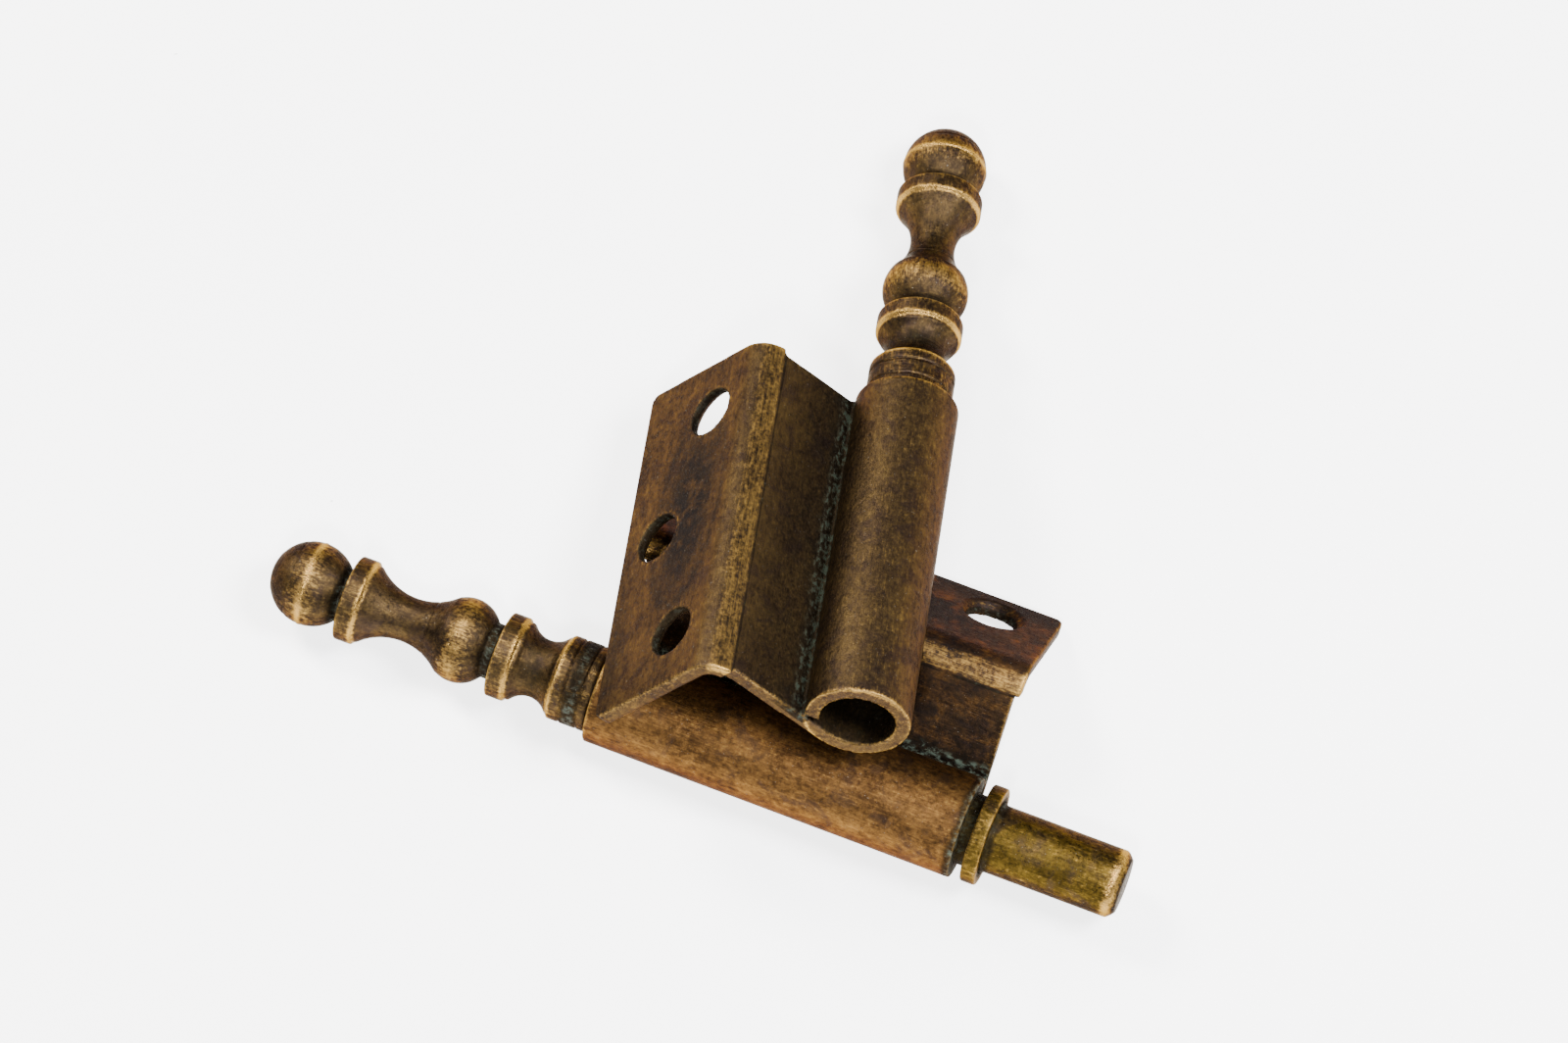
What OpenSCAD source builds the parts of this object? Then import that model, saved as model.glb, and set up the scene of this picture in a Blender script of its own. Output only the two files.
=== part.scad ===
// Lift-off cabinet-door hinge with turned finials, stored taken apart.
// The male half lies on its knuckle and the free edge of its leaf; the female half lies across it.
// X runs along the pin, towards its free end. The origin is on the pin's axis, at the male knuckle's face.
// Each half is drawn in its own frame first: x from the knuckle's open end to the finial, leaf towards +y.

/* [Knuckle] */
// Outside diameter of the rolled knuckle
knuckle_d = 10; // [8:0.5:14]
// Length of the rolled knuckle
knuckle_len = 37.4; // [30:1:60]
// Thickness of the sheet
sheet_t = 1.45; // [1:0.05:1.6]

/* [Leaf] */
// Slope of the panel that leaves the knuckle
inner_slope = 44; // [30:1:50]
// Slope of the screw panel, downwards from the ridge
outer_slope = 46; // [35:1:50]
// Length of the panel between the knuckle and the ridge
inner_len = 12.8; // [10:0.2:16]
// Length of the flat screw panel
outer_len = 13.3; // [13:0.2:20]
// Inside radius of the ridge's bend
ridge_r = 1.3; // [0.8:0.1:2]
// How far the screw panel and ridge run past the knuckle at each end
plate_step = 0.6; // [0.2:0.1:1]
// Radius of the leaf's free corners
corner_r = 1; // [0.4:0.1:2]

/* [Screw holes] */
// Diameter of the screw holes
hole_d = 5; // [3:0.1:5.4]
// Diameter of the countersinks at the surface
sink_d = 6.4; // [5.6:0.1:7]
// Distance of the end holes from the knuckle's ends
hole_inset = 5.6; // [5:0.1:8]
// Distance of the row of holes nearer the ridge from the start of the flat panel
hole_near = 3.9; // [3.4:0.1:5]
// Distance of the row of holes nearer the free edge from the start of the flat panel
hole_far = 8.6; // [7:0.1:9.5]

/* [Pin and washer] */
// Radial clearance of the pin's journal in the female knuckle
journal_gap = 0.2; // [0.18:0.01:0.3]
// Length of the pin outside the male knuckle
pin_out = 16; // [12:0.1:20]
// Length of the pin inside the male knuckle
pin_in = 20; // [12:1:24]
// Thickness of the washer
washer_t = 1.5; // [1:0.1:2]
// Outside diameter of the washer
washer_d = 9.7; // [9:0.1:10]
// Gap between the male knuckle and the washer
washer_gap = 1.1; // [0.1:0.1:1.5]

/* [Finials] */
// Radius of the drum, the rings and the bulb
turned_r = 4.2; // [3.8:0.1:4.4]
// Radius of the ball
ball_r = 4.1; // [3.8:0.1:4.3]
// Depth of each finial's stem in its knuckle
stem_len = 9; // [6:1:12]
// Clearance of the female finial in its knuckle, which turns round it
turn_gap = 0.05; // [0.02:0.01:0.1]

/* [Female half's place] */
// Where the centre of its open end lies
female_at = [-11.4, 0.4, 16];
// Turn of its axis about the vertical
female_yaw = 103.9; // [95:0.5:110]
// Tilt of its axis, finial end down
female_tilt = 14.5; // [12:0.1:16]
// Roll about its own axis
female_roll = -2; // [-3:0.1:3]
// Roll of the male half that brings its free edge down to the table
male_roll = -1.68; // [-3:0.01:3]

/* [Hidden] */
$fn = 96;
eps = 0.01;
knuckle_r = knuckle_d / 2;
bore_r = knuckle_r - sheet_t;
bend = inner_slope + outer_slope;
bend_at = [inner_len, -knuckle_r - ridge_r];
seam_gap = 0.15;
seam_slope = 20;
seam_reach = 3;
sink_depth = (sink_d - hole_d) / 2;
leaf_len = knuckle_len + 2 * plate_step;
journal_r = bore_r - journal_gap;
seat_step = 0.17;
seat_r = journal_r + seat_step;
seat_margin = 0.3;
seat_len = washer_gap + washer_t + seat_margin;
washer_play = 0.08;
washer_hole_r = seat_r + washer_play;
stem_step = 0.45;
stem_r = bore_r + stem_step;
pin_tip = 0.9;
cut_over = 1;

// Finial, distances from the knuckle's end along the axis
drum_len = 4.2;
drum_edge = 0.3;
ring_a_at = 9.6;
ring_b_at = 25.3;
ring_half = 0.95;
ring_edge = 0.3;
bulb_at = 14.2;
bulb_curve_r = 3.2;
waist_at = 19.9;
waist_r = 2.2;
waist_curve_r = 6;
ball_at = 29.9;
ball_equator = 0.25;
ball_ridge = 0.08;
base_neck_at = 6.3;
base_neck_r = 2.9;
base_curve_r = 2.3;
mid_neck_r = 2.75;
shoulder_r = 3.85;
end_neck_r = 2.5;

brass_dark = [0.43, 0.33, 0.18];
brass_warm = [0.55, 0.38, 0.17];
brass_light = [0.66, 0.53, 0.27];
steel_worn = [0.5, 0.46, 0.35];

// Half plane on the outer side of a line at the given angle, used to cut a sector out of a ring
module beyond(angle, reach) {
    rotate(angle)
        translate([0, -reach])
            square([reach, 2 * reach]);
}

// Rolled knuckle in section: a ring whose end stops just above the inner panel
module knuckle_section() {
    difference() {
        circle(knuckle_r);
        circle(bore_r);
        rotate(inner_slope)
            translate([sqrt(knuckle_r ^ 2 - (bore_r - seam_gap) ^ 2), seam_gap - bore_r])
                rotate(seam_slope - inner_slope)
                    translate([-seam_reach, -seam_reach])
                        square([seam_reach + cut_over, seam_reach]);
    }
}

// Panel that leaves the knuckle at a tangent
module inner_panel_section() {
    rotate(inner_slope)
        translate([-eps, -knuckle_r])
            square([inner_len + 2 * eps, sheet_t]);
}

// Bottom of the roll, from the inner panel's tangent to the ring
module root_section() {
    intersection() {
        difference() {
            circle(knuckle_r);
            circle(bore_r);
        }
        rotate(inner_slope)
            translate([-knuckle_r, -knuckle_r])
                square([knuckle_r, knuckle_r]);
    }
}

// Bend at the ridge
module ridge_section() {
    rotate(inner_slope)
        translate(bend_at)
            difference() {
                circle(ridge_r + sheet_t);
                circle(ridge_r);
                beyond(180, 2 * knuckle_r);
                beyond(-bend, 2 * knuckle_r);
            }
}

// Moves its children to the bend, with x along the screw panel and y out of it
module at_screw_panel() {
    rotate(inner_slope)
        translate(bend_at)
            rotate(-bend)
                children();
}

module outer_panel_section() {
    at_screw_panel()
        translate([-eps, ridge_r])
            square([outer_len + eps, sheet_t]);
}

// Stands a section in the y-z plane up along x
module along_x(from, length) {
    translate([from, 0, 0])
        rotate([90, 0, 90])
            linear_extrude(height = length)
                children();
}

// Screw holes: the end pair and the middle one sit in different rows
module screw_holes(end_row, middle_row, sunk_outside) {
    for (x = [hole_inset, knuckle_len / 2, knuckle_len - hole_inset]) {
        row = x == knuckle_len / 2 ? middle_row : end_row;
        translate([x, 0, 0])
            rotate([90, 0, 90])
                at_screw_panel()
                    translate([row, ridge_r])
                        rotate([-90, 0, 0])
                            screw_hole(sunk_outside);
    }
}

module screw_hole(sunk_outside) {
    translate([0, 0, -cut_over])
        cylinder(d = hole_d, h = sheet_t + 2 * cut_over);
    if (sunk_outside)
        translate([0, 0, sheet_t - sink_depth])
            cylinder(d1 = hole_d, d2 = sink_d + 2 * eps, h = sink_depth + eps);
    else
        translate([0, 0, -eps])
            cylinder(d1 = sink_d + 2 * eps, d2 = hole_d, h = sink_depth + eps);
}

// Rounds the two free corners of the screw panel
module corner_cuts() {
    for (end = [0, 1]) {
        translate([end == 0 ? -plate_step : knuckle_len + plate_step, 0, 0])
            rotate([90, 0, 90])
                at_screw_panel()
                    translate([outer_len, -cut_over])
                        rotate([-90, 0, 0])
                            corner_cut(end == 0 ? 1 : -1);
    }
}

// Square outside a quarter round, drawn at the corner itself
module corner_cut(side) {
    height = ridge_r + sheet_t + 2 * cut_over;
    mirror([0, side > 0 ? 0 : 1, 0])
        linear_extrude(height = height)
            translate([-corner_r, -corner_r])
                difference() {
                    square(2 * corner_r);
                    circle(corner_r);
                }
}

// One leaf with its knuckle, in the half's own frame
module leaf(end_row, middle_row, sunk_outside) {
    difference() {
        union() {
            along_x(0, knuckle_len) {
                knuckle_section();
                root_section();
                inner_panel_section();
            }
            along_x(-plate_step, leaf_len) {
                ridge_section();
                outer_panel_section();
            }
        }
        screw_holes(end_row, middle_row, sunk_outside);
        corner_cuts();
        stem_bore();
    }
}

// Wider end of the knuckle's bore, which takes the finial's stem
module stem_bore() {
    translate([knuckle_len - stem_len, 0, 0])
        rotate([0, 90, 0])
            cylinder(r = stem_r, h = stem_len + cut_over);
}

// Band of the full turned radius with broken edges
module turned_band(from, to, edge) {
    polygon([[0, from], [turned_r - edge, from], [turned_r, from + edge],
             [turned_r, to - edge], [turned_r - edge, to], [0, to]]);
}

// Hollow neck between the drum and the first ring
module base_cove(length) {
    difference() {
        square([turned_r - drum_edge, length]);
        translate([base_neck_r + base_curve_r, base_neck_at - drum_len])
            circle(base_curve_r);
    }
}

// Half outline of the finial: x is the radius, y the distance from the knuckle's end
module finial_outline(gap) {
    difference() {
        union() {
            translate([0, gap - stem_len])
                square([stem_r - gap, stem_len]);
            turned_band(gap, drum_len, drum_edge);
            translate([0, drum_len - eps])
                base_cove(ring_a_at - ring_half - drum_len + 2 * eps);
            square([mid_neck_r, bulb_at]);
            turned_band(ring_a_at - ring_half, ring_a_at + ring_half, ring_edge);
            intersection() {
                translate([turned_r - bulb_curve_r, bulb_at])
                    circle(bulb_curve_r);
                translate([0, bulb_at - bulb_curve_r])
                    square([turned_r, 2 * bulb_curve_r]);
            }
            difference() {
                translate([0, bulb_at])
                    square([shoulder_r, ring_b_at - bulb_at]);
                translate([waist_r + waist_curve_r, waist_at])
                    circle(waist_curve_r);
            }
            turned_band(ring_b_at - ring_half, ring_b_at + ring_half, ring_edge);
            square([end_neck_r, ball_at]);
            intersection() {
                translate([0, ball_at])
                    circle(ball_r);
                translate([0, ball_at - ball_r])
                    square([ball_r, 2 * ball_r]);
            }
            translate([0, ball_at - ball_equator / 2])
                square([ball_r + ball_ridge, ball_equator]);
        }
    }
}

module finial(gap) {
    translate([knuckle_len, 0, 0])
        rotate([0, 90, 0])
            rotate_extrude()
                finial_outline(gap);
}

// Places its children, drawn in a half's own frame, as the male or the female half
module as_male() {
    mirror([1, 0, 0])
        rotate([male_roll, 0, 0])
            children();
}

module as_female() {
    translate(female_at)
        rotate([0, 0, female_yaw])
            rotate([0, female_tilt, 0])
                rotate([female_roll, 0, 0])
                    children();
}

module leaf_m() {
    color(brass_dark)
        as_male()
            leaf(hole_far, hole_near, true);
}

module finial_m() {
    color(brass_warm)
        as_male()
            finial(0);
}

module pin() {
    color(steel_worn)
        rotate([0, 90, 0]) {
            translate([0, 0, -pin_in])
                cylinder(r = bore_r, h = pin_in - eps);
            translate([0, 0, -2 * eps])
                cylinder(r = seat_r, h = seat_len + 2 * eps);
            translate([0, 0, seat_len - eps])
                cylinder(r = journal_r, h = pin_out - pin_tip - seat_len + eps);
            translate([0, 0, pin_out - pin_tip])
                cylinder(r1 = journal_r, r2 = journal_r - pin_tip, h = pin_tip);
        }
}

module washer() {
    color(brass_light)
        translate([washer_gap, 0, 0])
            rotate([0, 90, 0])
                difference() {
                    cylinder(d = washer_d, h = washer_t);
                    translate([0, 0, -cut_over])
                        cylinder(r = washer_hole_r, h = washer_t + 2 * cut_over);
                }
}

module leaf_f() {
    color(brass_dark)
        as_female()
            leaf(hole_near, hole_far, false);
}

module finial_f() {
    color(brass_warm)
        as_female()
            finial(turn_gap);
}

leaf_m();
finial_m();
pin();
washer();
leaf_f();
finial_f();
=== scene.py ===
import math

import bmesh
import bpy
import numpy as np
from mathutils import Matrix, Vector


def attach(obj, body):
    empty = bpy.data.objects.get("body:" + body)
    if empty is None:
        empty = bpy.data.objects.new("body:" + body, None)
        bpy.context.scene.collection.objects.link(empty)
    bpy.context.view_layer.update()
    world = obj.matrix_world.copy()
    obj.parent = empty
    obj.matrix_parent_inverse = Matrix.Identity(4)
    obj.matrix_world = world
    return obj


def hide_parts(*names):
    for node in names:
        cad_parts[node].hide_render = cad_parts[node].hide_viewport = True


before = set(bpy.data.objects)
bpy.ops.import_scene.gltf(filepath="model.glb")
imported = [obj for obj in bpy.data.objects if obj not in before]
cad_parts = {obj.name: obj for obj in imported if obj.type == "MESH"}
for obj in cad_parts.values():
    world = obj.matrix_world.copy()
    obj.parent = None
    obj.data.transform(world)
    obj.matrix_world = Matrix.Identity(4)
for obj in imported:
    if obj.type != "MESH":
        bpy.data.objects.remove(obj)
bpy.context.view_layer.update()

MM = 0.001

# Sizes in millimetres, as in the CAD model: the leaves
KNUCKLE_R = 5.0
KNUCKLE_LEN = 37.4
SHEET = 1.45
BORE_R = KNUCKLE_R - SHEET
SLOPE_IN = math.radians(44)
SLOPE_OUT = math.radians(46)
INNER_LEN = 12.8
OUTER_LEN = 13.3
RIDGE_R = 1.3
STEP = 0.6
CORNER_R = 1.0
# screw holes
HOLE_R = 2.5
SINK_R = 3.2
HOLE_INSET = 5.6
ROW_NEAR = 3.9
ROW_FAR = 8.6
# pin and washer
JOURNAL_R = 3.35
SEAT_R = 3.52
SEAT_LEN = 2.9
PIN_OUT = 16.0
PIN_IN = 20.0
PIN_TIP = 0.9
WASHER_GAP = 1.1
WASHER_T = 1.5
WASHER_R = 4.85
WASHER_HOLE = 3.6
# finials; stations are measured from the knuckle's end
STEM_LEN = 9.0
STEM_R = 4.0
TURN_GAP = 0.05
DRUM = 4.2
TURNED_R = 4.2
BALL_R = 4.1
RING_A = 9.6
RING_B = 25.3
RING_HALF = 0.95
BULB = 14.2
WAIST = 19.9
BALL = 29.9
NECK_R = 2.75
SHOULDER_R = 3.85

TABLE_Z = -KNUCKLE_R
TABLE_GAP = 0.02
VOXEL = 0.16
EDGE_WEAR = 0.22

MALE = Matrix.Scale(-1, 4, (1, 0, 0)) @ Matrix.Rotation(math.radians(-1.68), 4, "X")
FEMALE = (
    Matrix.Translation((-11.4, 0.4, 16.0))
    @ Matrix.Rotation(math.radians(103.9), 4, "Z")
    @ Matrix.Rotation(math.radians(14.5), 4, "Y")
    @ Matrix.Rotation(math.radians(-2.0), 4, "X")
)


# ---------------------------------------------------------------- shapes

def turned(direction, length):
    """A vector of that length at an angle in the y-z plane."""
    return np.array([math.cos(direction), math.sin(direction)]) * length


U1 = turned(SLOPE_IN, 1)
N1 = turned(SLOPE_IN + math.pi / 2, 1)
D2 = turned(-SLOPE_OUT, 1)
N2 = turned(math.pi / 2 - SLOPE_OUT, 1)
BEND = U1 * INNER_LEN - N1 * (KNUCKLE_R + RIDGE_R)


def arc(centre, radius, start, end, step=math.radians(3)):
    n = max(2, int(abs(end - start) / step))
    return [centre + turned(start + (end - start) * i / n, radius) for i in range(n + 1)]


def roll_section():
    """Knuckle, inner panel and a little of the ridge, as one closed outline."""
    under = SLOPE_IN - math.pi / 2
    depth = BORE_R - 0.15
    tip_y, tip_z = U1 * math.sqrt(KNUCKLE_R**2 - depth**2) - N1 * depth
    tip = math.atan2(tip_z, tip_y)
    inner_tip = math.radians(-7)
    overlap = math.radians(100)
    zero = np.zeros(2)
    points = arc(zero, BORE_R, under, inner_tip - 2 * math.pi)
    points += arc(zero, KNUCKLE_R, tip - 2 * math.pi, under)
    points.append(U1 * INNER_LEN - N1 * KNUCKLE_R)
    points += arc(BEND, RIDGE_R, SLOPE_IN + math.pi / 2, overlap)
    points += arc(BEND, RIDGE_R + SHEET, overlap, SLOPE_IN + math.pi / 2)
    return points


def plate_section():
    """Ridge and screw panel as one closed outline."""
    top, low = SLOPE_IN + math.pi / 2, math.pi / 2 - SLOPE_OUT
    points = arc(BEND, RIDGE_R, top, low)
    points.append(BEND + N2 * RIDGE_R + D2 * OUTER_LEN)
    points.append(BEND + N2 * (RIDGE_R + SHEET) + D2 * OUTER_LEN)
    points += arc(BEND, RIDGE_R + SHEET, low, top)
    return points


def solid_between(bm, first, second):
    """Adds the solid between two matching rings of points."""
    first, second = ([bm.verts.new(p) for p in ring] for ring in (first, second))
    n = len(first)
    for i in range(n):
        j = (i + 1) % n
        bm.faces.new((first[i], first[j], second[j], second[i]))
    bm.faces.new(list(reversed(first)))
    bm.faces.new(second)


def prism(name, outline, start, end):
    """A closed outline (y, z) swept from x = start to x = end."""
    bm = bmesh.new()
    solid_between(bm, *([(x, p[0], p[1]) for p in outline] for x in (start, end)))
    bmesh.ops.recalc_face_normals(bm, faces=bm.faces)
    return to_object(name, bm)


def on_panel(x, w, h):
    """A point of the screw panel: along the hinge, down the slope, out of the panel."""
    p = BEND + D2 * w + N2 * h
    return Vector((x, p[0], p[1]))


def panel_cutters(name, outlines, low, high):
    """Solids through the screw panel from height low to high; each outline(h) gives its (x, w) points."""
    bm = bmesh.new()
    for outline in outlines:
        solid_between(bm, *([on_panel(x, w, h) for x, w in outline(h)] for h in (low, high)))
    bmesh.ops.recalc_face_normals(bm, faces=bm.faces)
    return to_object(name, bm)


def ring_points(x, w, radius, count=72):
    turns = [2 * math.pi * i / count for i in range(count)]
    return [(x + radius * math.cos(t), w + radius * math.sin(t)) for t in turns]


def round_hole(x, w, radius, slope=0):
    """A hole's outline by height; slope widens it upwards."""
    return lambda h: ring_points(x, w, radius + slope * h)


def corner_waste(end, side):
    """What a rounded corner of the screw panel leaves over."""
    outer = OUTER_LEN + 1
    inner = OUTER_LEN - CORNER_R
    corner = [(end - side, inner), (end - side, outer), (end + side * CORNER_R, outer)]
    for i in range(9):
        t = math.pi / 2 + math.pi / 2 * i / 8
        corner.append((end + side * CORNER_R * (1 + math.cos(t)), inner + CORNER_R * math.sin(t)))
    return lambda h: corner


def to_object(name, bm):
    mesh = bpy.data.meshes.new(name)
    bm.to_mesh(mesh)
    bm.free()
    obj = bpy.data.objects.new(name, mesh)
    bpy.context.scene.collection.objects.link(obj)
    return obj


def bake(obj):
    """Applies an object's modifiers to its mesh."""
    bpy.context.view_layer.update()
    graph = bpy.context.evaluated_depsgraph_get()
    mesh = bpy.data.meshes.new_from_object(obj.evaluated_get(graph))
    obj.modifiers.clear()
    old = obj.data
    obj.data = mesh
    bpy.data.meshes.remove(old)


def combine(obj, other, operation):
    """Boolean of two objects; the second is used up."""
    mod = obj.modifiers.new("boolean", "BOOLEAN")
    mod.operation = operation
    mod.solver = "EXACT"
    mod.object = other
    bake(obj)
    bpy.data.objects.remove(other)


def holes(end_row, middle_row):
    middle = KNUCKLE_LEN / 2
    return [(HOLE_INSET, end_row), (middle, middle_row), (KNUCKLE_LEN - HOLE_INSET, end_row)]


def leaf_mesh(name, end_row, middle_row, sunk_outside):
    """One leaf in its own frame and in millimetres, with soft edges rounded by long use."""
    spots = holes(end_row, middle_row)
    outside = RIDGE_R + SHEET
    depth = SINK_R - HOLE_R
    spare = 0.2
    if sunk_outside:
        sinks = [round_hole(x, w, SINK_R - outside, 1) for x, w in spots]
        low, high = outside - depth - spare, outside + spare
    else:
        sinks = [round_hole(x, w, SINK_R + RIDGE_R, -1) for x, w in spots]
        low, high = RIDGE_R - spare, RIDGE_R + depth + spare
    corners = [corner_waste(-STEP, 1), corner_waste(KNUCKLE_LEN + STEP, -1)]
    tube = [turned(2 * math.pi * i / 96, STEM_R) for i in range(96)]

    leaf = prism(name, roll_section(), 0, KNUCKLE_LEN)
    combine(leaf, prism("plate", plate_section(), -STEP, KNUCKLE_LEN + STEP), "UNION")
    for cutter in (
        panel_cutters("holes", [round_hole(x, w, HOLE_R) for x, w in spots], -1, outside + 1),
        panel_cutters("sinks", sinks, low, high),
        panel_cutters("corners", corners, 0, outside + 1),
        prism("socket", tube, KNUCKLE_LEN - STEM_LEN, KNUCKLE_LEN + 1),
    ):
        combine(leaf, cutter, "DIFFERENCE")
    mod = leaf.modifiers.new("grain", "REMESH")
    mod.mode = "VOXEL"
    mod.voxel_size = VOXEL
    mod.use_smooth_shade = True
    mod = leaf.modifiers.new("soften", "SMOOTH")
    mod.factor = 0.5
    mod.iterations = 3
    bake(leaf)
    return leaf


def lathe(name, radii, stations, segments=112):
    """A turned solid along x from radii at stations; it closes where the radius is zero."""
    turn = 2 * np.pi * np.arange(segments) / segments
    verts, faces = [], []
    for r, s in zip(radii, stations):
        verts += [(s, r * math.cos(t), r * math.sin(t)) for t in turn]
    for i in range(len(radii) - 1):
        for j in range(segments):
            k = (j + 1) % segments
            a, b = i * segments, (i + 1) * segments
            faces.append((a + j, a + k, b + k, b + j))
    mesh = bpy.data.meshes.new(name)
    mesh.from_pydata(verts, [], faces)
    bm = bmesh.new()
    bm.from_mesh(mesh)
    bpy.data.meshes.remove(mesh)
    bmesh.ops.remove_doubles(bm, verts=bm.verts, dist=1e-4)
    bmesh.ops.holes_fill(bm, edges=bm.edges, sides=0)
    bmesh.ops.recalc_face_normals(bm, faces=bm.faces)
    return to_object(name, bm)


def soften(values, width):
    """Gaussian blur of a profile, which rounds its sharp edges."""
    reach = int(4 * width)
    kernel = np.exp(-0.5 * (np.arange(-reach, reach + 1) / width) ** 2)
    return np.convolve(np.pad(values, reach, mode="edge"), kernel / kernel.sum(), mode="valid")


def finial_mesh(name, gap):
    """A finial in its leaf's frame; gap is the clearance round its stem."""
    s = np.arange(-STEM_LEN + gap, BALL + BALL_R * 0.9, 0.05)
    r = np.zeros_like(s)

    def add(value, low, high):
        inside = (s >= low) & (s <= high)
        r[inside] = np.maximum(r[inside], np.broadcast_to(value, s.shape)[inside])

    def root(value):
        return np.sqrt(np.maximum(value, 0))

    add(STEM_R - gap, -STEM_LEN, 0.5)
    add(TURNED_R - 0.3 * np.clip(1 - (s - gap) / 0.3, 0, 1), gap, DRUM)
    add(np.minimum(TURNED_R - 0.3, 5.2 - root(2.3**2 - (s - 6.3) ** 2)), DRUM, RING_A)
    add(NECK_R, 0, BULB)
    add(1.0 + root(3.2**2 - (s - BULB) ** 2), BULB - 3.0, BULB + 3.0)
    add(np.minimum(SHOULDER_R, 8.2 - root(36 - (s - WAIST) ** 2)), BULB + 1, RING_B)
    for ring in (RING_A, RING_B):
        add(TURNED_R, ring - RING_HALF, ring + RING_HALF)
    add(2.5, RING_B, BALL)
    add(root(BALL_R**2 - (s - BALL) ** 2), BALL - 3.6, BALL + BALL_R)
    r = soften(r, 1.7)
    # lathe work: grooves in the drum and beside the bulb, a fine ridge round the ball
    grooves = ((2.9, 0.14, 0.12), (1.1, 0.1, 0.1), (BULB + 3.4, 0.05, 0.12), (BALL + 1.6, 0.05, 0.1))
    for at, depth, width in grooves:
        r -= depth * np.exp(-(((s - at) / width) ** 2))
    r += 0.06 * np.exp(-(((s - BALL) / 0.14) ** 2))
    end = math.acos(r[-1] / BALL_R)
    cap = np.linspace(end, math.pi / 2, 14)[1:]
    radii = np.concatenate([[0], r, np.maximum(BALL_R * np.cos(cap), 0)])
    stations = np.concatenate([[s[0]], s, BALL + BALL_R * np.sin(cap)])
    return lathe(name, radii, KNUCKLE_LEN + stations)


def pin_mesh(name):
    s = np.arange(-PIN_IN, PIN_OUT - PIN_TIP * 0.2, 0.1)
    r = np.full_like(s, BORE_R)
    r[s > 0] = SEAT_R
    r[s > SEAT_LEN] = JOURNAL_R
    r = soften(r, 1.2)
    tip = np.clip((s - (PIN_OUT - PIN_TIP)) / PIN_TIP, 0, 1)
    r -= 0.85 * tip**1.6
    flat = np.linspace(r[-1] - 0.1, 0, 9)
    ends = PIN_OUT - 0.1 * (flat / flat[0]) ** 4
    radii = np.concatenate([[0], r, flat])
    stations = np.concatenate([[s[0]], s, ends])
    return lathe(name, radii, stations)


def washer_mesh(name):
    half = WASHER_T / 2
    mid = (WASHER_R + WASHER_HOLE) / 2
    wide = (WASHER_R - WASHER_HOLE) / 2
    turn = np.linspace(0, 2 * np.pi, 73)
    # a squarish ring in section with corners rounded by long use
    power = 0.28
    out = np.sign(np.cos(turn)) * np.abs(np.cos(turn)) ** power
    side = np.sign(np.sin(turn)) * np.abs(np.sin(turn)) ** power
    return lathe(name, mid + wide * out, WASHER_GAP + half + half * side)


# ---------------------------------------------------------------- masks

def coordinates(obj):
    co = np.empty(len(obj.data.vertices) * 3, dtype=np.float32)
    obj.data.vertices.foreach_get("co", co)
    return co.reshape(-1, 3).astype(float)


def bump_at(value, at, width):
    return np.exp(-(((value - at) / width) ** 2))


def ramp_up(value, low, high):
    return np.clip((value - low) / (high - low), 0, 1)


def store(obj, place, **masks):
    """Keeps the piece's own coordinates and its masks on the mesh, for the materials: rubbed metal with a
    painted highlight, soiling with painted shade, and stains.
    """
    layer = obj.data.attributes.new("place", "FLOAT_VECTOR", "POINT")
    layer.data.foreach_set("vector", place.astype(np.float32).ravel())
    for name in ("wear", "grime", "stain"):
        values = np.clip(masks.get(name, np.zeros(len(place))), 0, 1.5)
        layer = obj.data.attributes.new(name, "FLOAT", "POINT")
        layer.data.foreach_set("value", values.astype(np.float32))


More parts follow.
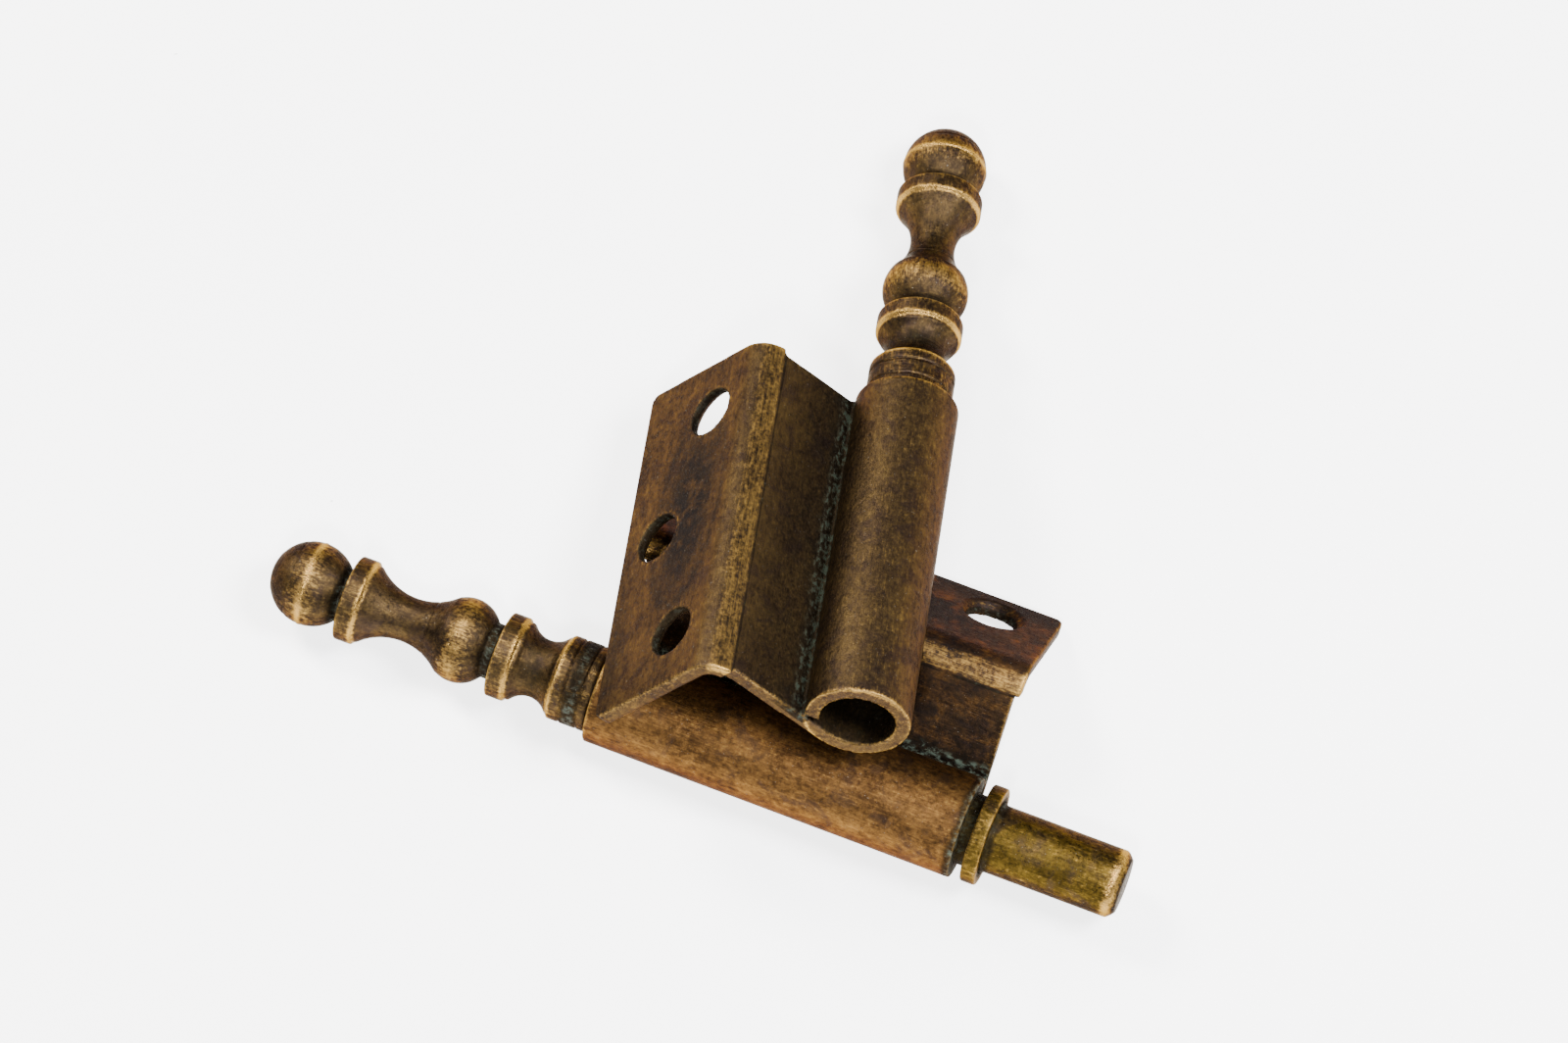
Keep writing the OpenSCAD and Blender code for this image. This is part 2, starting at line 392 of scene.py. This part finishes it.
def mask_leaf(obj, spots, ends_dirt, panels_dark):
    p = coordinates(obj)
    x, q = p[:, 0], p[:, 1:]
    t, n = q @ U1, q @ N1
    rel = q - BEND
    w, h = rel @ D2, rel @ N2
    bend_r = np.hypot(rel[:, 0], rel[:, 1])
    bend_a = np.degrees(np.arctan2(rel[:, 1], rel[:, 0]))
    axis_r = np.hypot(q[:, 0], q[:, 1])
    on_plate = (w > -0.2) & (t > INNER_LEN - 1.5)
    on_bend = (bend_r < 3.2) & (bend_a > 44) & (bend_a < 136) & (t > INNER_LEN - 1)
    top = on_bend & (bend_r > 2.0)
    plate_end = np.minimum(x + STEP, KNUCKLE_LEN + STEP - x)
    roll_end = np.minimum(x, KNUCKLE_LEN - x)
    end = np.where(on_plate | on_bend, plate_end, roll_end)
    knuckle = (axis_r < KNUCKLE_R + 0.2) & ~(on_plate | on_bend) & ((t < 4.2) | (n > -3.2))
    outer = knuckle & (axis_r > KNUCKLE_R - 0.5)
    # depth of a point under the outer skin
    skin = np.where(on_bend, RIDGE_R + SHEET - bend_r, -BORE_R - n)
    skin = np.where(on_plate, RIDGE_R + SHEET - h, skin)
    skin = np.where(knuckle, np.minimum(KNUCKLE_R - axis_r, axis_r - BORE_R), skin)
    # rubbed metal and a painted highlight: the cut ends, the free edge and the knuckle's crown are rubbed;
    # the ridge's top is partly rubbed, partly a painted highlight
    rim = 0.28 + 0.9 * np.exp(-np.clip(np.abs(skin), 0, 9) / 0.16)
    wear = 0.85 * np.exp(-np.clip(end, 0, 9) / EDGE_WEAR) * rim
    # the ridge's top: a bright band, partly rubbed metal, partly a painted highlight
    wear += np.where(top, 0.52 * ramp_up(bend_a, 76, 90) * ramp_up(-bend_a, -135, -130), 0)
    wear += np.where(on_plate, 0.65 * np.exp(-np.clip(OUTER_LEN - w, 0, 99) / EDGE_WEAR), 0)
    crown = bump_at(np.degrees(np.arctan2(q[:, 1], q[:, 0])), 105, 45)
    wear += np.where(outer & (q[:, 1] > -1), 0.22 * crown, 0)
    # soiling and painted shade: soiling in the seam and at the open end; darker on the inner panel and in the
    # crease at the foot of the ridge; painted shade in the bore
    near_seam = np.hypot(t - 4.3, n + BORE_R)
    panel_top = (t > 3) & (t < INNER_LEN - 0.3) & (n > -4.4) & (n < -3.0)
    grime = 1.1 * bump_at(near_seam, 0, 0.9)
    grime += np.where(panel_top, 0.5 * np.exp(-(t - 3.5) / 3.0) + 0.2, 0)
    grime += np.where(outer | (knuckle & (end < 0.2)), 1.1 * ends_dirt * bump_at(x, 0, 0.8), 0)
    grime += 0.75 * bump_at(t, INNER_LEN - 0.1, 0.16) * (n > -4.4) * (n < -3.2)
    # painted shade: the bore darkened all through
    grime += np.where((axis_r < BORE_R + 0.25) & knuckle, 0.55, 0)
    # stain: the panels, the dark oval on the screw panel, part of its free edge
    stain = np.where(knuckle, 0.0, panels_dark)
    outside = on_plate & (h > RIDGE_R + SHEET * 0.5)
    middle = KNUCKLE_LEN * 0.55
    oval = ((x - middle) / 9.5) ** 2 + ((w - 4.6) / 3.6) ** 2
    stain += np.where(outside, np.exp(-(oval**2)) + 0.5 * bump_at(oval, 1.5, 0.3), 0)
    edge = bump_at(w, OUTER_LEN - 1.0, 1.6) * ramp_up(middle - x, 0, 14)
    stain += np.where(outside, 0.7 * edge, 0)
    for hx, hw in spots:
        around = np.hypot(x - hx, w - hw)
        wall = on_plate & (around < HOLE_R + 0.12)
        grime += np.where(wall, 0.8, 0)
        wear += np.where(outside, 0.35 * bump_at(around, HOLE_R + 0.35, 0.28), 0)
    store(obj, p, wear=wear, grime=grime, stain=stain)


def mask_finial(obj, dirt_and_shade):
    p = coordinates(obj)
    s = p[:, 0] - KNUCKLE_LEN
    r = np.hypot(p[:, 1], p[:, 2])
    wear = 0.3 * np.clip((r - 3.4) / 0.8, 0, 1)
    for ring in (RING_A, RING_B):
        wear += 0.75 * (bump_at(s, ring - RING_HALF, 0.3) + bump_at(s, ring + RING_HALF, 0.3)) * (r > 3.7)
    wear += 0.7 * bump_at(s, DRUM - 0.1, 0.3) * (r > 3.6) + 0.45 * bump_at(s, BALL, 0.3)
    wear += 0.3 * bump_at(s, BULB, 1.4) + 0.25 * bump_at(s, BALL, 2.0)
    # soiling and painted shade: verdigris soiling on the drum; painted shade in the cove by the drum and in
    # the necks by the rings; darker at the joint with the knuckle
    grime = dirt_and_shade * bump_at(s, 1.9, 0.9) * (r > 3.8)
    grime += 0.95 * bump_at(s, RING_A + 1.5, 0.75) + 0.95 * bump_at(s, RING_B + 1.3, 0.7)
    grime += 0.5 * bump_at(s, 6.4, 1.6) + 0.5 * bump_at(s, 0.1, 0.3)
    store(obj, p, wear=wear, grime=grime)


def mask_pin(obj):
    p = coordinates(obj)
    r = np.hypot(p[:, 1], p[:, 2])
    wear = 0.7 * bump_at(p[:, 0], PIN_OUT - PIN_TIP, 0.5) * (r > 2) + 0.25
    stain = np.clip((p[:, 0] - PIN_OUT + 0.5) / 0.3, 0, 1)
    # painted shade on the pin where it runs into the knuckle and the washer, and a painted shadow just past
    # the washer
    grime = 0.8 * bump_at(p[:, 0], WASHER_GAP + WASHER_T + 0.2, 0.7) + 0.9 * (p[:, 0] < WASHER_GAP + 0.3)
    store(obj, p, wear=wear, grime=grime, stain=stain)


def mask_washer(obj):
    p = coordinates(obj)
    r = np.hypot(p[:, 1], p[:, 2])
    near_edge = np.abs(np.abs(p[:, 0] - WASHER_GAP - WASHER_T / 2) - WASHER_T / 2)
    wear = 0.35 * (r > 4.5) + 0.4 * np.exp(-near_edge / 0.15)
    # painted shade round the washer's hole and on its face toward the knuckle
    grime = 0.8 * (r < 4.2) + 0.5 * bump_at(p[:, 0], WASHER_GAP, 0.4)
    store(obj, p, wear=wear, grime=grime)


# ---------------------------------------------------------------- materials

# Patina from its darkest to its lightest shade, for each metal
BROWN = ((0.016, 0.0112, 0.0078), (0.032, 0.021, 0.0125), (0.062, 0.0395, 0.0178), (0.112, 0.072, 0.025))
COPPER = ((0.012, 0.007, 0.004), (0.046, 0.023, 0.0085), (0.115, 0.058, 0.018), (0.23, 0.122, 0.036))
BRONZE = ((0.009, 0.0065, 0.005), (0.021, 0.014, 0.0085), (0.050, 0.032, 0.014), (0.115, 0.073, 0.026))
OLIVE = ((0.007, 0.005, 0.002), (0.026, 0.017, 0.004), (0.064, 0.041, 0.0075), (0.13, 0.083, 0.014))
GOLD = (0.33, 0.195, 0.052)
OXIDE = (0.024, 0.016, 0.015)
STAIN = (0.0085, 0.0085, 0.0105)
DIRT_AND_SHADE = (0.006, 0.0055, 0.004)
# the dark colour for soiling and for painted shade
PIT = (0.018, 0.012, 0.008)
SPECK = (0.30, 0.29, 0.25)
SHINE = (0.33, 0.285, 0.22, 1)
FAINT_GREEN = (0.022, 0.034, 0.026)
LEAF_GREEN = (0.07, 0.095, 0.075)
FINIAL_GREEN = (0.075, 0.10, 0.085)


class Nodes:
    """Short spellings for building a node tree."""

    def __init__(self, name):
        self.material = bpy.data.materials.new(name)
        self.material.use_nodes = True
        self.tree = self.material.node_tree
        self.shader = self.tree.nodes["Principled BSDF"]

    def node(self, kind, **inputs):
        n = self.tree.nodes.new(kind)
        for key, value in inputs.items():
            self.put(value, n.inputs[key])
        return n

    def put(self, value, socket):
        if isinstance(value, bpy.types.NodeSocket):
            self.tree.links.new(value, socket)
        else:
            socket.default_value = value

    def attribute(self, name, kind="Fac"):
        n = self.tree.nodes.new("ShaderNodeAttribute")
        n.attribute_name = name
        return n.outputs[kind]

    def math(self, operation, a, b=0.0, clamp=False):
        n = self.tree.nodes.new("ShaderNodeMath")
        n.operation = operation
        n.use_clamp = clamp
        self.put(a, n.inputs[0])
        self.put(b, n.inputs[1])
        return n.outputs[0]

    def scaled(self, value, factor):
        return self.math("MULTIPLY", value, factor)

    def total(self, first, *terms):
        """Sum of a value and (value, weight) terms."""
        for value, weight in terms:
            first = self.math("ADD", first, self.scaled(value, weight))
        return first

    def centred(self, value):
        return self.math("SUBTRACT", value, 0.5)

    def noise(self, vector, scale, detail=4.0, rough=0.6, warp=0.0):
        n = self.node("ShaderNodeTexNoise", Vector=vector, Scale=scale, Detail=detail, Roughness=rough)
        n.inputs["Distortion"].default_value = warp
        return n.outputs["Fac"]

    def stretch(self, vector, scale, shift=(0, 0, 0)):
        n = self.node("ShaderNodeMapping", Vector=vector)
        n.inputs["Scale"].default_value = scale
        n.inputs["Location"].default_value = shift
        return n.outputs[0]

    def band(self, value, low, high, out_low=0.0, out_high=1.0):
        n = self.node("ShaderNodeMapRange", Value=value)
        n.interpolation_type = "SMOOTHSTEP"
        for key, number in (("From Min", low), ("From Max", high), ("To Min", out_low), ("To Max", out_high)):
            n.inputs[key].default_value = number
        return n.outputs[0]

    def mix(self, factor, a, b):
        n = self.tree.nodes.new("ShaderNodeMix")
        n.data_type = "RGBA"
        self.put(factor, n.inputs[0])
        self.put(a if isinstance(a, bpy.types.NodeSocket) else (*a, 1), n.inputs[6])
        self.put(b if isinstance(b, bpy.types.NodeSocket) else (*b, 1), n.inputs[7])
        return n.outputs[2]

    def ramp(self, value, stops):
        n = self.node("ShaderNodeValToRGB", Fac=value)
        elements = n.color_ramp.elements
        while len(elements) < len(stops):
            elements.new(0.5)
        for element, (at, colour) in zip(elements, stops):
            element.position = at
            element.color = (*colour, 1)
        return n.outputs[0]


def patina(name, shades, shift, lathe_lines=0.0, verdigris=FAINT_GREEN, gloss=0.0):
    """Aged brass: mottled patina, bright rubbed edges with a painted highlight, dark soiling with painted
    shade, verdigris in the corners, scratches and pits.
    """
    m = Nodes(name)
    place = m.stretch(m.attribute("place", "Vector"), (1, 1, 1), shift)
    big = m.noise(place, 0.13, 3)
    mid = m.noise(place, 0.55, 6, 0.68, 0.6)
    fine = m.noise(place, 3.2, 5, 0.7)
    grit = m.noise(place, 9.0, 3, 0.7)
    scratch = m.noise(m.stretch(place, (0.22, 4.0, 4.0)), 1.6, 4, 0.7)
    grain = m.noise(m.stretch(place, (0.8, 1.25, 1.25)), 1.5, 6, 0.72, 0.3)
    tone = m.total(m.scaled(mid, 0.18), (big, 0.16), (grain, 0.32), (fine, 0.2), (scratch, 0.14))
    colour = m.ramp(tone, list(zip((0.35, 0.45, 0.53, 0.64), shades)))
    # cooler, violet-grey oxide in patches
    clouds = m.noise(m.stretch(place, (1, 1, 1), (31, 7, 3)), 0.36, 5, 0.6, 0.8)
    colour = m.mix(m.band(clouds, 0.5, 0.66, 0, 0.5), colour, OXIDE)
    stain = m.math("MULTIPLY", m.attribute("stain"), m.band(mid, 0.36, 0.54, 0.35, 1.0), True)
    colour = m.mix(m.scaled(stain, 0.85), colour, STAIN)
    # rubbed metal and a painted highlight: masks from the mesh, broken up by the grain
    rub_and_highlight = m.total(
        m.attribute("wear"), (m.centred(fine), 0.9), (m.centred(grain), 0.9), (m.centred(scratch), 1.1)
    )
    worn_and_highlit = m.band(rub_and_highlight, 0.3, 1.0)
    colour = m.mix(m.scaled(worn_and_highlit, 0.85), colour, GOLD)
    # dark soiling and painted shade, with verdigris where the mask is strongest
    dirt_and_shade = m.total(m.attribute("grime"), (m.centred(mid), 1.8))
    dark = m.band(dirt_and_shade, 0.2, 0.75)
    colour = m.mix(m.scaled(dark, 0.7), colour, DIRT_AND_SHADE)
    bloom = m.math("MULTIPLY", m.band(dirt_and_shade, 0.6, 1.3), m.band(grain, 0.47, 0.6))
    colour = m.mix(m.scaled(bloom, 0.75), colour, verdigris)
    # pits and pale specks
    pit = m.band(grit, 0.66, 0.73)
    colour = m.mix(m.scaled(pit, 0.65), colour, PIT)
    speck = m.band(m.noise(m.stretch(place, (1, 1, 1), (5, 11, 17)), 5.5, 2), 0.715, 0.75)
    colour = m.mix(m.scaled(speck, 0.5), colour, SPECK)
    m.put(colour, m.shader.inputs["Base Color"])
    m.shader.inputs["Specular Tint"].default_value = SHINE
    m.shader.inputs["Specular IOR Level"].default_value = 0.25
    m.put(m.math("SUBTRACT", 0.93, m.scaled(bloom, 0.7), True), m.shader.inputs["Metallic"])
    rough = m.total(m.band(fine, 0.3, 0.7, 0.33 - gloss, 0.5 - gloss), (dark, 0.16), (bloom, 0.25))
    m.put(m.math("SUBTRACT", rough, m.scaled(worn_and_highlit, 0.1), True), m.shader.inputs["Roughness"])
    height = m.total(
        m.scaled(fine, 0.5), (grit, 0.22), (scratch, 0.5), (pit, -0.35), (bloom, 0.4), (mid, 0.8)
    )
    if lathe_lines:
        rings = m.noise(m.stretch(place, (5.0, 0.06, 0.06)), 1.0, 4, 0.75)
        height = m.total(height, (rings, lathe_lines))
    bump = m.node("ShaderNodeBump", Height=height, Strength=0.5, Distance=0.00016)
    m.put(bump.outputs[0], m.shader.inputs["Normal"])
    return m.material


def table_material():
    """Plain pale board with a few specks and scratches, lit a little from within."""
    m = Nodes("table")
    place = m.node("ShaderNodeTexCoord").outputs["Object"]
    cloud = m.noise(place, 18.0, 4)
    grit = m.noise(place, 1500.0, 2)
    scratch = m.noise(m.stretch(place, (60, 1400, 1)), 1.0, 3)
    colour = m.mix(m.band(cloud, 0.3, 0.7), (0.93, 0.93, 0.93), (0.90, 0.905, 0.915))
    patch = m.band(m.noise(place, 30.0, 3), 0.55, 0.75)
    speck = m.scaled(m.band(grit, 0.74, 0.78), patch)
    colour = m.mix(m.scaled(speck, 0.8), colour, (0.12, 0.11, 0.10))
    line = m.scaled(m.band(scratch, 0.7, 0.76), patch)
    colour = m.mix(m.scaled(line, 0.12), colour, (0.55, 0.52, 0.5))
    m.put(colour, m.shader.inputs["Base Color"])
    m.put(colour, m.shader.inputs["Emission Color"])
    m.shader.inputs["Emission Strength"].default_value = 3.3
    m.shader.inputs["Roughness"].default_value = 0.7
    return m.material


# ---------------------------------------------------------------- assembly

def finish_piece(obj, matrix, material, body, node):
    """Moves a piece from its own frame to its place, in metres, and hands it to the frame."""
    obj.data.transform(Matrix.Scale(MM, 4) @ matrix)
    if matrix.determinant() < 0:
        obj.data.flip_normals()
    obj.data.materials.clear()
    obj.data.materials.append(material)
    obj.data.shade_smooth()
    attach(obj, body)
    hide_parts(node)


leaf_m = leaf_mesh("male_leaf", ROW_FAR, ROW_NEAR, True)
mask_leaf(leaf_m, holes(ROW_FAR, ROW_NEAR), ends_dirt=1.0, panels_dark=0.85)
leaf_f = leaf_mesh("female_leaf_plate", ROW_NEAR, ROW_FAR, False)
mask_leaf(leaf_f, holes(ROW_NEAR, ROW_FAR), ends_dirt=0.0, panels_dark=0.0)
finial_m = finial_mesh("male_finial", 0.0)
mask_finial(finial_m, dirt_and_shade=0.95)
finial_f = finial_mesh("female_finial_turned", TURN_GAP)
mask_finial(finial_f, dirt_and_shade=0.25)
pin = pin_mesh("hinge_pin")
mask_pin(pin)
washer = washer_mesh("spacer_ring")
mask_washer(washer)

as_built = Matrix.Identity(4)
metal = patina("leaf_male", COPPER, (3, 0, 5), verdigris=LEAF_GREEN)
finish_piece(leaf_m, MALE, metal, "male_half", "leaf_m")
metal = patina("leaf_female", BROWN, (40, 12, 0))
finish_piece(leaf_f, FEMALE, metal, "female_leaf", "leaf_f")
metal = patina("finial_male", BRONZE, (0, 60, 9), 0.9, FINIAL_GREEN, 0.06)
finish_piece(finial_m, MALE, metal, "male_half", "finial_m")
metal = patina("finial_female", BRONZE, (70, 3, 2), 0.9, gloss=0.06)
finish_piece(finial_f, FEMALE, metal, "female_finial", "finial_f")
metal = patina("pin_dull", OLIVE, (9, 9, 80), 0.3, gloss=0.08)
finish_piece(pin, as_built, metal, "male_half", "pin")
metal = patina("washer_worn", OLIVE, (8, 30, 1), 0.4)
finish_piece(washer, as_built, metal, "loose_washer", "washer")


# ---------------------------------------------------------------- stage, light, camera

bm = bmesh.new()
bmesh.ops.create_grid(bm, x_segments=40, y_segments=40, size=0.9)
bmesh.ops.translate(bm, verts=bm.verts, vec=(0, 0, (TABLE_Z - TABLE_GAP) * MM))
table = to_object("table_top", bm)
table.data.materials.append(table_material())

world = bpy.data.worlds.new("studio")
bpy.context.scene.world = world
world.use_nodes = True
world.node_tree.nodes["Background"].inputs["Color"].default_value = (0.95, 0.97, 1.0, 1)
world.node_tree.nodes["Background"].inputs["Strength"].default_value = 0.27

MIDDLE = Vector((-0.02, 0.015, 0.0))


def soft_light(name, offset, size, power, colour=(1, 1, 1)):
    """An area light at an offset from the hinge's middle, turned to it."""
    data = bpy.data.lights.new(name, "AREA")
    data.shape = "RECTANGLE"
    data.size, data.size_y = size
    data.energy = power
    data.color = colour
    lamp = bpy.data.objects.new(name, data)
    lamp.location = MIDDLE + offset
    lamp.rotation_euler = (MIDDLE - lamp.location).to_track_quat("-Z", "Y").to_euler()
    bpy.context.scene.collection.objects.link(lamp)


AZIMUTH = math.radians(21.955)
ELEVATION = math.radians(67.435)
ROLL = math.radians(-0.182)
LENS = 174.6675
# from the camera to the table under the origin, in millimetres: right, down, ahead
OFFSET = (17.294, 30.927, 724.954)

right = Vector((math.cos(AZIMUTH), math.sin(AZIMUTH), 0))
level = Vector((-math.sin(AZIMUTH), math.cos(AZIMUTH), 0))
forward = level * math.cos(ELEVATION) - Vector((0, 0, math.sin(ELEVATION)))
upward = level * math.sin(ELEVATION) + Vector((0, 0, math.cos(ELEVATION)))
cam_x = right * math.cos(ROLL) + upward * math.sin(ROLL)
cam_y = upward * math.cos(ROLL) - right * math.sin(ROLL)
eye = -(cam_x * OFFSET[0] - cam_y * OFFSET[1] + forward * OFFSET[2])
eye.z += TABLE_Z

soft_light("key", level * 0.25 - right * 0.28 + Vector((0, 0, 0.42)), (0.13, 0.18), 5.6, (1.0, 0.96, 0.90))
soft_light("fill", right * 0.26 - level * 0.05 + Vector((0, 0, 0.46)), (0.16, 0.2), 6.6, (0.98, 0.98, 1.0))
soft_light("front", level * -0.3 - right * 0.05 + Vector((0, 0, 0.45)), (0.07, 0.07), 3.0)

lens = bpy.data.cameras.new("camera")
lens.sensor_width = 36
lens.lens = LENS
camera = bpy.data.objects.new("camera", lens)
turn = Matrix((cam_x, cam_y, -forward)).transposed().to_4x4()
camera.matrix_world = Matrix.Translation(eye * MM) @ turn
bpy.context.scene.collection.objects.link(camera)
bpy.context.scene.camera = camera
